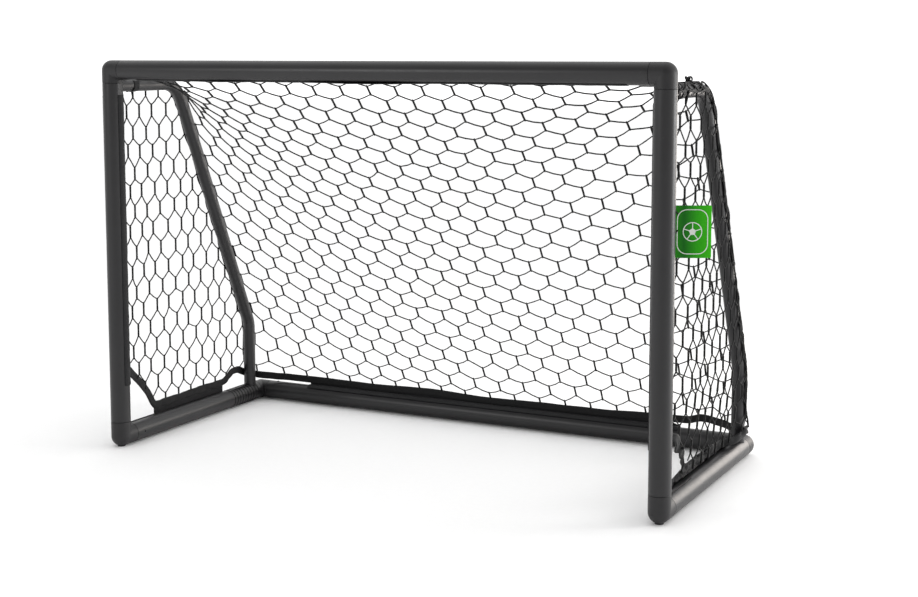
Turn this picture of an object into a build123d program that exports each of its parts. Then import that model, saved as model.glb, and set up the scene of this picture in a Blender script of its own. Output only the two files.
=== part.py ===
"""Soccer goal frame: bent steel tubes joined by plug-in corners with snap buttons, and a net.

Millimetres. The origin lies on the floor under the middle of the goal's outer box,
+X runs along the crossbar, +Y from the goal mouth to the back and +Z up.
"""
import os
from math import atan2, cos, degrees, radians, sin, sqrt, tan

from build123d import *

# Overall sizes of the frame, outside to outside
goal_width = 1800.0
goal_height = 1180.0
goal_depth = 820.0

# Main tubes: posts, crossbar and base
tube_diameter = 60.0
tube_wall = 1.5

# Bent side stanchions and the stubs that they plug on
stanchion_diameter = 40.0
stanchion_wall = 1.5
stub_wall = 1.75
stub_length = 86.0
arm_height = 1105.0
foot_setback = 68.0
slope_run = 382.0
foot_bend_height = 274.0
bend_radius = 100.0
weld_bite = 8.0
cope_overrun = 10.0
cope_reach = 50.0
cut_past = 1.0

# Plug-in corners
corner_leg = 38.0
foot_leg = 46.0
spigot_length = 92.0
long_spigot_length = 126.0
spigot_wall = 3.0
spigot_clearance = 0.25
seam_gap = 0.6
edge_break = 0.8
pad_radius = 12.0
pad_height = 1.0

# Snap buttons and their leaf springs
button_diameter = 8.0
button_clearance = 0.3
button_proud = 2.0
button_round = 2.4
button_from_seam = 35.0
long_button_from_seam = 70.0
stub_button_height = 38.0
leaf_width = 8.0
leaf_thickness = 0.8
leaf_clearance = 0.6
leaf_share = 0.66
clip_reach = 50.0
stub_clip_reach = 42.0
leaf_gap = 1.0
rear_leaf = 7.0
clip_bend_share = 2.5

# Net, hem webbing, flaps, sleeves and the sewn label
cloth_gap = 0.4
net_thickness = 2.0
hem_height = 22.0
hem_post_height = 232.0
hem_knee_run = 130.0
hem_knee_height = 162.0
hem_rest_height = 24.0
hem_arch_height = 50.0
hem_arch_setback = 75.0
hem_foot_height = 40.0
flap_front_run = 185.0
flap_rear_setback = 135.0
back_flap_setback = 190.0
back_cloth_offset = 5.0
flap_thickness = 1.6
cap_angle = 40.0
cap_lap_angle = 2.0
sleeve_thickness = 1.4
sleeve_from_seam = 60.0
post_sleeve_low = 190.0
sleeve_below_arm = 8.0
sleeve_eyelet = 9.0
bar_sleeve_low_angle = -112.0
bar_sleeve_high_angle = 35.0
post_sleeve_inner_angle = 20.0
post_sleeve_rear_angle = 105.0
strap_width = 25.0
strap_thickness = 1.6
strap_from_post = 60.0
roof_end = 420.0
net_sag = 14.0
label_width = 98.0
label_height = 136.0
label_thickness = 1.2
label_low = 672.0
label_from_post = 12.0

# Places that follow from the sizes
tube_radius = tube_diameter / 2
tube_bore = tube_radius - tube_wall
spigot_radius = tube_bore - spigot_clearance
spigot_bore = spigot_radius - spigot_wall
post_x = goal_width / 2 - tube_radius
front_y = -goal_depth / 2 + tube_radius
back_y = goal_depth / 2 - tube_radius
base_z = tube_radius + pad_height
bar_z = goal_height - tube_radius
stanchion_radius = stanchion_diameter / 2
stanchion_bore = stanchion_radius - stanchion_wall
stub_radius = stanchion_bore - spigot_clearance
stub_bore = stub_radius - stub_wall
foot_y = back_y - foot_setback
arm_bend_y = foot_y - slope_run
post_rear_y = front_y + tube_radius
base_top_z = base_z + tube_radius
top_seam_z = bar_z - corner_leg
foot_seam_z = base_z + foot_leg
hole_radius = button_diameter / 2 + button_clearance
cloth_offset = stanchion_radius + strap_thickness + 2 * cloth_gap
cloth_x = post_x + cloth_offset
net_front_y = post_rear_y + cloth_gap
back_cloth_y = back_y + back_cloth_offset
cloth_radius = tube_radius + cloth_gap

up = Vector(0, 0, 1)
down = Vector(0, 0, -1)
back = Vector(0, 1, 0)
front = Vector(0, -1, 0)

sides = {"left": -1, "right": 1}


def save(part, name):
    part.label = name
    export_step(part, f"parts/{name}.step")


def inward(side):
    return Vector(-side, 0, 0)


def joined_tube(start, direction, length, holes):
    """A main tube with its ends' edges broken and a hole for each button."""
    with BuildPart() as tube:
        with BuildSketch(Plane(origin=start, z_dir=direction)):
            Circle(tube_radius)
            Circle(tube_bore, mode=Mode.SUBTRACT)
        extrude(amount=length)
        rims = tube.edges().filter_by(GeomType.CIRCLE).filter_by(lambda e: e.radius > tube_radius - tube_wall / 2)
        chamfer(rims, edge_break)
        for centre, facing in holes:
            with BuildSketch(Plane(origin=centre, z_dir=facing)):
                Circle(hole_radius)
            extrude(amount=tube_radius + cut_past, mode=Mode.SUBTRACT)
    return tube.part


def corner(legs):
    """A hollow moulded corner about the origin: a ball, and for each leg a sleeve and a spigot with a button hole.

    legs is a list of (direction, leg length, spigot length, button distance, button facing).
    """
    with BuildPart() as body:
        Sphere(tube_radius)
        for direction, leg, spigot, _, _ in legs:
            with BuildSketch(Plane(origin=(0, 0, 0), z_dir=direction)):
                Circle(tube_radius)
            extrude(amount=leg)
        rims = body.edges().filter_by(GeomType.CIRCLE).filter_by(
            lambda e: any((e.arc_center - d * leg).length < edge_break / 2 for d, leg, _, _, _ in legs)
        )
        chamfer(rims, edge_break)
        for direction, leg, spigot, _, _ in legs:
            with BuildSketch(Plane(origin=direction * leg, z_dir=direction)):
                Circle(spigot_radius)
            extrude(amount=spigot)
        Sphere(spigot_bore, mode=Mode.SUBTRACT)
        for direction, leg, spigot, _, _ in legs:
            with BuildSketch(Plane(origin=(0, 0, 0), z_dir=direction)):
                Circle(spigot_bore)
            extrude(amount=leg + spigot, mode=Mode.SUBTRACT)
        for direction, leg, _, reach, facing in legs:
            with BuildSketch(Plane(origin=direction * (leg + reach), z_dir=facing)):
                Circle(hole_radius)
            extrude(amount=tube_radius, mode=Mode.SUBTRACT)
    return body.part


def with_pad(body):
    """The corner with its round foot pad under it."""
    with BuildPart() as padded:
        add(body)
        with BuildSketch(Plane.XY.offset(-base_z)):
            Circle(pad_radius)
        extrude(amount=tube_radius - spigot_bore + pad_height)
    return padded.part


def snap_button(centre, facing, along, bore, proud_radius, reach):
    """A domed pin riveted on the sprung leg of its leaf spring."""
    seat = bore - leaf_clearance
    top = proud_radius + button_proud
    slope = atan2(seat, reach)
    with BuildPart() as button:
        with BuildSketch(Plane(origin=centre + facing * (seat - 2 * leaf_thickness), z_dir=facing)):
            Circle(button_diameter / 2)
        extrude(amount=top - seat + 2 * leaf_thickness)
        rim = button.edges().filter_by(GeomType.CIRCLE).sort_by(Axis(centre, facing))[-1]
        fillet(rim, button_round)
        flat = Plane(origin=centre, x_dir=along, z_dir=along.cross(facing))
        with BuildSketch(flat.offset(-leaf_width / 2)):
            with BuildLine():
                rise = flat.to_local_coords(centre + facing).Y
                tip = reach * leaf_share
                Polyline(
                    (-rear_leaf, rise * seat),
                    (0, rise * seat),
                    (tip, rise * (seat - tip * seat / reach)),
                    (tip, rise * (seat - tip * seat / reach - leaf_thickness / cos(slope))),
                    (0, rise * (seat - leaf_thickness)),
                    (-rear_leaf, rise * (seat - leaf_thickness)),
                    close=True,
                )
            make_face()
        extrude(amount=leaf_width)
    return button.part


def spring_clip(centre, facing, along, bore, reach):
    """The fixed half of a leaf spring: its bend and the leg on the far wall."""
    seat = bore - leaf_clearance
    flat = Plane(origin=centre, x_dir=along, z_dir=along.cross(facing))
    rise = flat.to_local_coords(centre + facing).Y
    start = reach * leaf_share + leaf_gap
    thick = leaf_thickness / cos(atan2(seat, reach))
    with BuildPart() as clip:
        with BuildSketch(flat.offset(-leaf_width / 2)):
            with BuildLine():
                Polyline(
                    (start, rise * (seat - start * seat / reach)),
                    (reach - thick, rise * thick * seat / reach),
                    (reach, 0),
                    (reach - thick, -rise * thick * seat / reach),
                    (0, -rise * seat),
                    (-rear_leaf, -rise * seat),
                    (-rear_leaf, -rise * (seat - leaf_thickness)),
                    (0, -rise * (seat - leaf_thickness)),
                    (reach - clip_bend_share * thick, 0),
                    (start, rise * (seat - start * seat / reach - thick)),
                    close=True,
                )
            make_face()
        extrude(amount=leaf_width)
    return clip.part


def post(side):
    """A goal post with the stub of the stanchion's arm welded behind its top."""
    x = side * post_x
    foot = Vector(x, front_y, foot_seam_z + seam_gap)
    height = top_seam_z - foot_seam_z - 2 * seam_gap
    low_hole = Vector(x, front_y, foot_seam_z + button_from_seam)
    high_hole = Vector(x, front_y, top_seam_z - long_button_from_seam)
    plain = joined_tube(foot, up, height, [(low_hole, back), (high_hole, back)])
    arm_root = Vector(x, front_y + tube_bore - weld_bite, arm_height)
    with BuildPart() as made:
        add(plain)
        with BuildSketch(Plane(origin=arm_root, z_dir=back)):
            Circle(stub_radius)
        extrude(amount=tube_wall + weld_bite + stub_length)
        with BuildSketch(Plane(origin=Vector(x, post_rear_y + seam_gap, arm_height), z_dir=back)):
            Circle(stub_bore)
        extrude(amount=stub_length, mode=Mode.SUBTRACT)
        with BuildSketch(Plane(origin=foot, z_dir=up)):
            Circle(tube_bore)
        extrude(amount=height, mode=Mode.SUBTRACT)
        with BuildSketch(Plane(origin=Vector(x, front_y, top_seam_z - seam_gap), z_dir=up)):
            Circle(tube_radius + seam_gap)
        extrude(amount=corner_leg, mode=Mode.SUBTRACT)
        with BuildSketch(Plane(origin=arm_pin(side), z_dir=down)):
            Circle(hole_radius)
        extrude(amount=stub_radius + cut_past, mode=Mode.SUBTRACT)
    return made.part


def arm_pin(side):
    return Vector(side * post_x, post_rear_y + stub_button_height, arm_height)


def foot_pin(side):
    return Vector(side * post_x, foot_y, base_top_z + stub_button_height)


def side_base(side):
    """A side base tube with the stub of the stanchion's foot welded on it."""
    x = side * post_x
    front_seam = front_y + foot_leg
    rear_seam = back_y - corner_leg
    start = Vector(x, front_seam + seam_gap, base_z)
    length = rear_seam - front_seam - 2 * seam_gap
    holes = [
        (Vector(x, front_seam + button_from_seam, base_z), inward(side)),
        (Vector(x, rear_seam - button_from_seam, base_z), inward(side)),
    ]
    plain = joined_tube(start, back, length, holes)
    with BuildPart() as made:
        add(plain)
        with BuildSketch(Plane(origin=Vector(x, foot_y, base_z + tube_bore - weld_bite), z_dir=up)):
            Circle(stub_radius)
        extrude(amount=tube_wall + weld_bite + stub_length)
        with BuildSketch(Plane(origin=Vector(x, foot_y, base_top_z + seam_gap), z_dir=up)):
            Circle(stub_bore)
        extrude(amount=stub_length, mode=Mode.SUBTRACT)
        with BuildSketch(Plane(origin=start, z_dir=back)):
            Circle(tube_bore)
        extrude(amount=length, mode=Mode.SUBTRACT)
        with BuildSketch(Plane(origin=foot_pin(side), z_dir=front)):
            Circle(hole_radius)
        extrude(amount=stub_radius + cut_past, mode=Mode.SUBTRACT)
    return made.part


def stanchion(side):
    """The bent tube from the post's top to the side base: a level arm, a slope and a foot."""
    x = side * post_x
    with BuildPart() as made:
        with BuildLine(Plane.YZ.offset(x)) as route:
            FilletPolyline(
                (post_rear_y - cope_overrun, arm_height),
                (arm_bend_y, arm_height),
                (foot_y, foot_bend_height),
                (foot_y, base_top_z - cope_overrun),
                radius=bend_radius,
            )
        with BuildSketch(Plane(origin=Vector(x, post_rear_y - cope_overrun, arm_height), z_dir=back)):
            Circle(stanchion_radius)
            Circle(stanchion_bore, mode=Mode.SUBTRACT)
        sweep(path=route.wires()[0])
        with BuildSketch(Plane(origin=Vector(x, front_y, arm_height - cope_reach), z_dir=up)):
            Circle(tube_radius + seam_gap)
        extrude(amount=2 * cope_reach, mode=Mode.SUBTRACT)
        with BuildSketch(Plane(origin=Vector(x, foot_y - cope_reach, base_z), z_dir=back)):
            Circle(tube_radius + seam_gap)
        extrude(amount=2 * cope_reach, mode=Mode.SUBTRACT)
        for pin, facing in ((arm_pin(side), down), (foot_pin(side), front)):
            with BuildSketch(Plane(origin=pin, z_dir=facing)):
                Circle(hole_radius)
            extrude(amount=stanchion_radius + cut_past, mode=Mode.SUBTRACT)
    return made.part


def button_places(side):
    """Each snap button: name, centre on the tube's axis, facing, along, bore, tube radius, reach."""
    x = side * post_x
    seam_x = x - side * (corner_leg + button_from_seam)
    main = (spigot_bore, tube_radius, clip_reach)
    small = (stub_bore, stanchion_radius, stub_clip_reach)
    front_pin_y = front_y + foot_leg + button_from_seam
    rear_pin_y = back_y - corner_leg - button_from_seam
    return [
        ("crossbar_button", Vector(seam_x, front_y, bar_z), back, inward(side), *main),
        ("post_top_button", Vector(x, front_y, top_seam_z - long_button_from_seam), back, down, *main),
        ("post_foot_button", Vector(x, front_y, foot_seam_z + button_from_seam), back, up, *main),
        ("base_front_button", Vector(x, front_pin_y, base_z), inward(side), back, *main),
        ("base_rear_button", Vector(x, rear_pin_y, base_z), inward(side), front, *main),
        ("back_bar_button", Vector(seam_x, back_y, base_z), up, inward(side), *main),
        ("arm_button", arm_pin(side), down, back, *small),
        ("stanchion_button", foot_pin(side), front, up, *small),
    ]


def beside(points, distance):
    """The same open outline moved to its left by distance, with mitred corners."""
    moved = []
    for i, (px, py) in enumerate(points):
        before = points[max(i - 1, 0)]
        after = points[min(i + 1, len(points) - 1)]
        normals = []
        for (ax, ay), (bx, by) in ((before, (px, py)), ((px, py), after)):
            run = sqrt((bx - ax) ** 2 + (by - ay) ** 2)
            if run > 0:
                normals.append((-(by - ay) / run, (bx - ax) / run))
        nx = sum(n[0] for n in normals) / len(normals)
        ny = sum(n[1] for n in normals) / len(normals)
        share = distance / (nx * nx + ny * ny)
        moved.append((px + nx * share, py + ny * share))
    return moved


def band(points, low, high):
    """A closed outline between two lines that run beside the points."""
    return beside(points, high) + beside(points, low)[::-1]


def stanchion_outline(distance):
    """The outer side of the stanchion in (y, z), that far from its axis, from the arm down to the foot."""
    turn = atan2(slope_run, arm_height - foot_bend_height)
    turn = radians(90) - turn
    tangent = (bend_radius + distance) * tan(turn / 2)
    cut = tangent - (bend_radius + distance) * tan(turn / 4)
    mitred = beside(
        [(net_front_y, arm_height), (arm_bend_y, arm_height), (foot_y, foot_bend_height), (foot_y, base_top_z)],
        distance,
    )
    knee_y, knee_z = mitred[1]
    on_arm = (knee_y - cut, knee_z)
    on_slope = (knee_y + cut * cos(turn), knee_z - cut * sin(turn))
    return [mitred[0], on_arm, on_slope, mitred[2]]


def hem_line():
    """The middle of the side hem in (y, z), from the post down to the flap and over the foot to the back."""
    return [
        (net_front_y, hem_post_height),
        (front_y + hem_knee_run, hem_knee_height),
        (front_y + flap_front_run, base_top_z + hem_rest_height),
        (foot_y - flap_rear_setback, base_top_z + hem_rest_height),
        (foot_y - hem_arch_setback, base_top_z + hem_arch_height),
        (foot_y, base_top_z + hem_foot_height),
        (foot_y + cloth_offset, back_hem_middle()),
        (back_cloth_y - cloth_gap, back_hem_middle()),
    ]


def back_hem_middle():
    return base_top_z + hem_height


def cloth_plane(side, distance):
    """A plane across X at that distance beyond the net's inner face, with (y, z) as its own axes."""
    return Plane(origin=(side * (cloth_x + distance), 0, 0), x_dir=(0, 1, 0), z_dir=(1, 0, 0))


def plate(side, outline, start, thickness):
    """A flat cloth piece beside the stanchion, from its outline in (y, z)."""
    with BuildPart() as made:
        with BuildSketch(cloth_plane(side, start)):
            with BuildLine():
                Polyline(*outline, close=True)
            make_face()
        extrude(amount=side * thickness)
    return made.part


def ring_sector(plane, inner, thickness, low_angle, high_angle, length):
    """A strip of cloth that hugs a tube between two angles, measured on the plane."""
    middle = (low_angle + high_angle) / 2

    def at(radius, angle):
        return radius * cos(radians(angle)), radius * sin(radians(angle))

    outer = inner + thickness
    with BuildPart() as made:
        with BuildSketch(plane):
            with BuildLine():
                ThreePointArc(at(inner, low_angle), at(inner, middle), at(inner, high_angle))
                Line(at(inner, high_angle), at(outer, high_angle))
                ThreePointArc(at(outer, high_angle), at(outer, middle), at(outer, low_angle))
                Line(at(outer, low_angle), at(inner, low_angle))
            make_face()
        extrude(amount=length)
    return made.part


def side_net(side):
    top_and_rear = stanchion_outline(cloth_offset - cloth_gap)
    low = beside(hem_line(), hem_height / 2 + cloth_gap)
    return plate(side, top_and_rear + low[::-1], 0, net_thickness)


def side_hem(side):
    return plate(side, band(hem_line(), -hem_height / 2, hem_height / 2), 0, net_thickness)


def side_flap(side):
    """The cloth between the hem and the base tube, with its strip over the tube."""
    first = front_y + flap_front_run
    last = foot_y - flap_rear_setback
    reach = cloth_x - post_x
    low = base_z + sqrt(cloth_radius**2 - reach**2)
    high = base_top_z + hem_rest_height - hem_height / 2 - cloth_gap
    outline = [(first, low + flap_thickness / 2), (last, low + flap_thickness / 2), (last, high), (first, high)]
    fin = plate(side, outline, 0, flap_thickness)
    outer_angle = degrees(atan2(low - base_z, reach))
    cap_plane = Plane(origin=(side * post_x, first, base_z), x_dir=(side, 0, 0), z_dir=(0, side * -1, 0))
    angles = (outer_angle - cap_lap_angle, 90 + cap_angle)
    cap = ring_sector(cap_plane, cloth_radius, flap_thickness, *angles, -side * (last - first))
    with BuildPart() as made:
        add(fin)
        add(cap)
    return made.part


def back_net():
    """The net from the crossbar over the stanchions to the back, sagging a little in the middle."""
    foot = (back_cloth_y, back_hem_middle() + hem_height / 2 + cloth_gap)
    end = stanchion_outline(cloth_offset) + [foot]
    first_y, first_z = end[0]
    share = [0.0]
    for (ay, az), (by, bz) in zip(end, end[1:]):
        share.append(share[-1] + sqrt((by - ay) ** 2 + (bz - az) ** 2))
    drop = [net_sag * 4 * (s / share[-1]) * (1 - s / share[-1]) for s in share]
    middle = [
        (first_y + (foot[0] - first_y) * s / share[-1], first_z + (foot[1] - first_z) * s / share[-1] - d)
        for s, d in zip(share, drop)
    ]
    edge = cloth_x + net_thickness
    inner = post_x - cloth_offset
    sections = [(edge, end), (inner, end), (roof_end, middle)]
    mirrored = [(-x, line) for x, line in sections]
    with BuildPart() as made:
        for x, line in mirrored + sections[::-1]:
            with BuildSketch(Plane(origin=(x, 0, 0), x_dir=(0, 1, 0), z_dir=(1, 0, 0))):
                with BuildLine():
                    Polyline(*band(line, 0, net_thickness), close=True)
                make_face()
        loft(ruled=True)
    return made.part


def back_hem():
    half = cloth_x - cloth_gap
    with BuildPart() as made:
        with BuildSketch(Plane(origin=(0, back_cloth_y, back_hem_middle()), x_dir=(1, 0, 0), z_dir=(0, 1, 0))):
            Rectangle(2 * half, hem_height)
        extrude(amount=net_thickness)
    return made.part


def back_flap():
    """The cloth between the back hem and the back base tube, with its strip over the tube."""
    half = post_x - back_flap_setback
    low = base_z + sqrt(cloth_radius**2 - back_cloth_offset**2) + flap_thickness / 2
    high = back_hem_middle() - hem_height / 2 - cloth_gap
    cap_plane = Plane(origin=(-half, back_y, base_z), x_dir=(0, 1, 0), z_dir=(1, 0, 0))
    cap = ring_sector(cap_plane, cloth_radius, flap_thickness, 90 - cap_angle, 90 + cap_angle, 2 * half)
    with BuildPart() as made:
        add(cap)
        with BuildSketch(Plane(origin=(0, back_cloth_y, 0), x_dir=(1, 0, 0), z_dir=(0, 1, 0))):
            with Locations((0, -(low + high) / 2)):
                Rectangle(2 * half, high - low)
        extrude(amount=flap_thickness)
    return made.part


def crossbar_sleeve():
    """A strip of cloth round the back and underside of the crossbar."""
    half = post_x - corner_leg - sleeve_from_seam
    plane = Plane(origin=(-half, front_y, bar_z), x_dir=(0, 1, 0), z_dir=(1, 0, 0))
    angles = (bar_sleeve_low_angle, bar_sleeve_high_angle)
    return ring_sector(plane, cloth_radius, sleeve_thickness, *angles, 2 * half)


def post_sleeve(side):
    """A strip of cloth round the back and inner side of a post, with an eyelet over the button."""
    plane = Plane(origin=(side * post_x, front_y, post_sleeve_low), x_dir=(1, 0, 0), z_dir=(0, 0, 1))
    high = arm_height - stanchion_radius - sleeve_below_arm
    angles = (-post_sleeve_inner_angle, post_sleeve_rear_angle)
    if side > 0:
        angles = (180 - post_sleeve_rear_angle, 180 + post_sleeve_inner_angle)
    strip = ring_sector(plane, cloth_radius, sleeve_thickness, *angles, high - post_sleeve_low)
    pin = Vector(side * post_x, front_y, top_seam_z - long_button_from_seam)
    with BuildPart() as made:
        add(strip)
        with BuildSketch(Plane(origin=pin, z_dir=back)):
            Circle(sleeve_eyelet)
        extrude(amount=2 * tube_radius, mode=Mode.SUBTRACT)
    return made.part


def arm_strap(side):
    """A strap round the stanchion's arm."""
    with BuildPart() as made:
        with BuildSketch(Plane(origin=(side * post_x, post_rear_y + strap_from_post, arm_height), z_dir=back)):
            Circle(stanchion_radius + cloth_gap + strap_thickness)
            Circle(stanchion_radius + cloth_gap, mode=Mode.SUBTRACT)
        extrude(amount=strap_width / 2, both=True)
    return made.part


def side_label():
    """The sewn label on the right side net, behind the post."""
    first = net_front_y + label_from_post
    outline = [
        (first, label_low),
        (first + label_width, label_low),
        (first + label_width, label_low + label_height),
        (first, label_low + label_height),
    ]
    return plate(sides["right"], outline, net_thickness + cloth_gap, label_thickness)


os.makedirs("parts", exist_ok=True)

# Crossbar and back base tube
bars = (("crossbar", front_y, bar_z, back), ("back_base", back_y, base_z, up))
for bar_name, bar_y, bar_height, bar_facing in bars:
    bar_end = post_x - corner_leg - seam_gap
    bar_holes = [
        (Vector(side * (post_x - corner_leg - button_from_seam), bar_y, bar_height), bar_facing)
        for side in sides.values()
    ]
    save(joined_tube(Vector(-bar_end, bar_y, bar_height), Vector(1, 0, 0), 2 * bar_end, bar_holes), bar_name)

clips = []
for side_name, side in sides.items():
    across = inward(side)
    top = Vector(side * post_x, front_y, bar_z)
    foot = Vector(side * post_x, front_y, base_z)
    rear = Vector(side * post_x, back_y, base_z)

    save(post(side), f"{side_name}_post")
    save(side_base(side), f"{side_name}_side_base")
    save(stanchion(side), f"{side_name}_stanchion")

    top_corner = corner([
        (across, corner_leg, spigot_length, button_from_seam, back),
        (down, corner_leg, long_spigot_length, long_button_from_seam, back),
    ])
    save(top_corner.moved(Location(top)), f"{side_name}_top_corner")
    front_foot = corner([
        (up, foot_leg, spigot_length, button_from_seam, back),
        (back, foot_leg, spigot_length, button_from_seam, across),
    ])
    save(with_pad(front_foot).moved(Location(foot)), f"{side_name}_front_foot")
    back_corner = corner([
        (across, corner_leg, spigot_length, button_from_seam, up),
        (front, corner_leg, spigot_length, button_from_seam, across),
    ])
    save(with_pad(back_corner).moved(Location(rear)), f"{side_name}_back_corner")

    for button_name, centre, facing, along, bore, proud_radius, reach in button_places(side):
        save(snap_button(centre, facing, along, bore, proud_radius, reach), f"{side_name}_{button_name}")
        clips.append(spring_clip(centre, facing, along, bore, reach))

save(Compound(children=clips), "spring_clips")

for side_name, side in sides.items():
    save(side_net(side), f"{side_name}_net")
    save(side_hem(side), f"{side_name}_hem")
    save(side_flap(side), f"{side_name}_flap")
    save(post_sleeve(side), f"{side_name}_post_sleeve")
    save(arm_strap(side), f"{side_name}_arm_strap")
save(back_net(), "back_net")
save(back_hem(), "back_hem")
save(back_flap(), "back_flap")
save(crossbar_sleeve(), "crossbar_sleeve")
save(side_label(), "side_label")
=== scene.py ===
import random
from math import atan2, ceil, cos, degrees, hypot, pi, radians, sin, tan

import bmesh
import bpy
from mathutils import Matrix, Vector, noise


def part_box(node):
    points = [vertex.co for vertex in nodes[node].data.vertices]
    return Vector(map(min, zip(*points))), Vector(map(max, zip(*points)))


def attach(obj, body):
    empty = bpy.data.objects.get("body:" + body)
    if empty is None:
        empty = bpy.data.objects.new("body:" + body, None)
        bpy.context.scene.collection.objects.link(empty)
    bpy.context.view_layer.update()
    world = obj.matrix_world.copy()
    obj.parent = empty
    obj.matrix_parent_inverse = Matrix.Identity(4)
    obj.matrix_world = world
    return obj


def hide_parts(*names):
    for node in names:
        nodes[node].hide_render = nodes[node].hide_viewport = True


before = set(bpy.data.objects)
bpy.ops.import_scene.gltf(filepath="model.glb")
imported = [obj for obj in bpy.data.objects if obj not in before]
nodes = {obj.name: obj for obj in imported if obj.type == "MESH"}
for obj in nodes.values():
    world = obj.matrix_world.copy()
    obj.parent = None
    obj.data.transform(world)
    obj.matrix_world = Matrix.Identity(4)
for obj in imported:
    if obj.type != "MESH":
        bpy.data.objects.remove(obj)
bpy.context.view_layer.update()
sides = {"left": -1, "right": 1}


def middle(node):
    low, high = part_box(node)
    return (low + high) / 2


bar = middle("crossbar")
backBar = middle("back_base")
stanchionLow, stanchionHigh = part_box("right_stanchion")
tubeRadius = (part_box("crossbar")[1].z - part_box("crossbar")[0].z) / 2
stanchionRadius = (stanchionHigh.x - stanchionLow.x) / 2
postX = (stanchionHigh.x + stanchionLow.x) / 2
postRear = bar.y + tubeRadius
armZ = stanchionHigh.z - stanchionRadius
footY = stanchionHigh.y - stanchionRadius
baseTop = backBar.z + tubeRadius

camera = {
    "place": (2.1249, -4.0055, 1.2005),
    "turn": 26.793,  # degrees about the vertical
    "down": 6.452,  # degrees below level
    "lens": 59.746,
    "sensor": 36,
    "lift": -0.0795,
}

cam = bpy.data.objects.new("camera", bpy.data.cameras.new("camera"))
cam.location = camera["place"]
cam.rotation_euler = (radians(90 - camera["down"]), 0, radians(camera["turn"]))
cam.data.lens = camera["lens"]
cam.data.sensor_width = camera["sensor"]
cam.data.shift_y = camera["lift"]
bpy.context.scene.collection.objects.link(cam)
bpy.context.scene.camera = cam
print("camera placed")

bandScale = 1000 / 6.3  # the wave texture's scale for bands 1 mm wide


def colour(hexText):
    # an sRGB hex colour as linear values
    parts = [int(hexText[i:i + 2], 16) / 255 for i in (1, 3, 5)]
    return [c / 12.92 if c <= 0.04045 else ((c + 0.055) / 1.055) ** 2.4 for c in parts] + [1.0]


def add(tree, kind, settings=None, links=None):
    # one node with its own settings, its socket values and what runs into it
    node = tree.nodes.new(kind)
    for key, value in (settings or {}).items():
        if key == "stops":
            elements = node.color_ramp.elements
            while len(elements) < len(value):
                elements.new(0.5)
            for element, (place, shade) in zip(elements, value):
                element.position, element.color = place, shade
        elif isinstance(key, str) and hasattr(node, key):
            setattr(node, key, value)
        else:
            node.inputs[key].default_value = value
    for key, source in (links or {}).items():
        tree.links.new(source, node.inputs[key])
    return node


def newMaterial(name, shaderValues):
    material = bpy.data.materials.new(name)
    material.use_nodes = True
    tree = material.node_tree
    shader = tree.nodes["Principled BSDF"]
    for key, value in shaderValues.items():
        shader.inputs[key].default_value = value
    return material, tree, shader


def grey(value):
    return (value, value, value, 1.0)


def powderCoatedSteel():
    # baked polyester powder on steel tube: satin, with a fine orange peel and a few dull rub marks
    coat = {"peel": 1.6, "cloud": 90, "scuff": 14}  # mm
    material, tree, shader = newMaterial("powder coated steel", {"IOR": 1.5, "Specular IOR Level": 0.52})
    where = add(tree, "ShaderNodeTexCoord").outputs["Object"]
    cloud = add(tree, "ShaderNodeTexNoise", {"Scale": 1000 / coat["cloud"], "Detail": 3.0}, {"Vector": where})
    tint = add(tree, "ShaderNodeValToRGB", {"stops": [(0.3, colour("#151416")), (0.7, colour("#1b1a1c"))]},
               {"Fac": cloud.outputs["Fac"]}).outputs["Color"]
    scuff = add(tree, "ShaderNodeTexNoise", {"Scale": 1000 / coat["scuff"], "Detail": 8.0, "Roughness": 0.7},
                {"Vector": where})
    marks = add(tree, "ShaderNodeValToRGB", {"stops": [(0.62, grey(0)), (0.78, grey(1))]},
               {"Fac": scuff.outputs["Fac"]}).outputs["Color"]
    worn = add(tree, "ShaderNodeMix", {"data_type": "RGBA", "B": colour("#2a292a")}, {"A": tint})
    tree.links.new(marks, worn.inputs[0])
    tree.links.new(worn.outputs[2], shader.inputs["Base Color"])
    rough = add(tree, "ShaderNodeMapRange",
                {"From Min": 0.3, "From Max": 0.7, "To Min": 0.34, "To Max": 0.44},
                {"Value": scuff.outputs["Fac"]})
    tree.links.new(rough.outputs["Result"], shader.inputs["Roughness"])
    peel = add(tree, "ShaderNodeTexNoise", {"Scale": 1000 / coat["peel"], "Detail": 1.0}, {"Vector": where})
    bump = add(tree, "ShaderNodeBump", {"Strength": 0.12, "Distance": 0.0002},
               {"Height": peel.outputs["Fac"]})
    tree.links.new(bump.outputs["Normal"], shader.inputs["Normal"])
    return material


def mouldedNylon():
    # injection moulded, glass filled nylon: a little duller than the tubes, with a spark eroded grain
    grain = {"spark": 0.9, "flow": 40}  # mm
    material, tree, shader = newMaterial("moulded nylon", {"IOR": 1.53, "Specular IOR Level": 0.46})
    where = add(tree, "ShaderNodeTexCoord").outputs["Object"]
    flow = add(tree, "ShaderNodeTexNoise", {"Scale": 1000 / grain["flow"], "Detail": 2.0}, {"Vector": where})
    tint = add(tree, "ShaderNodeValToRGB", {"stops": [(0.35, colour("#161517")), (0.65, colour("#1b1a1c"))]},
               {"Fac": flow.outputs["Fac"]}).outputs["Color"]
    tree.links.new(tint, shader.inputs["Base Color"])
    spark = add(tree, "ShaderNodeTexNoise", {"Scale": 1000 / grain["spark"], "Detail": 3.0},
                {"Vector": where})
    rough = add(tree, "ShaderNodeMapRange",
                {"From Min": 0.3, "From Max": 0.7, "To Min": 0.44, "To Max": 0.54},
                {"Value": spark.outputs["Fac"]})
    tree.links.new(rough.outputs["Result"], shader.inputs["Roughness"])
    bump = add(tree, "ShaderNodeBump", {"Strength": 0.2, "Distance": 0.0002},
               {"Height": spark.outputs["Fac"]})
    tree.links.new(bump.outputs["Normal"], shader.inputs["Normal"])
    return material


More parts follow.
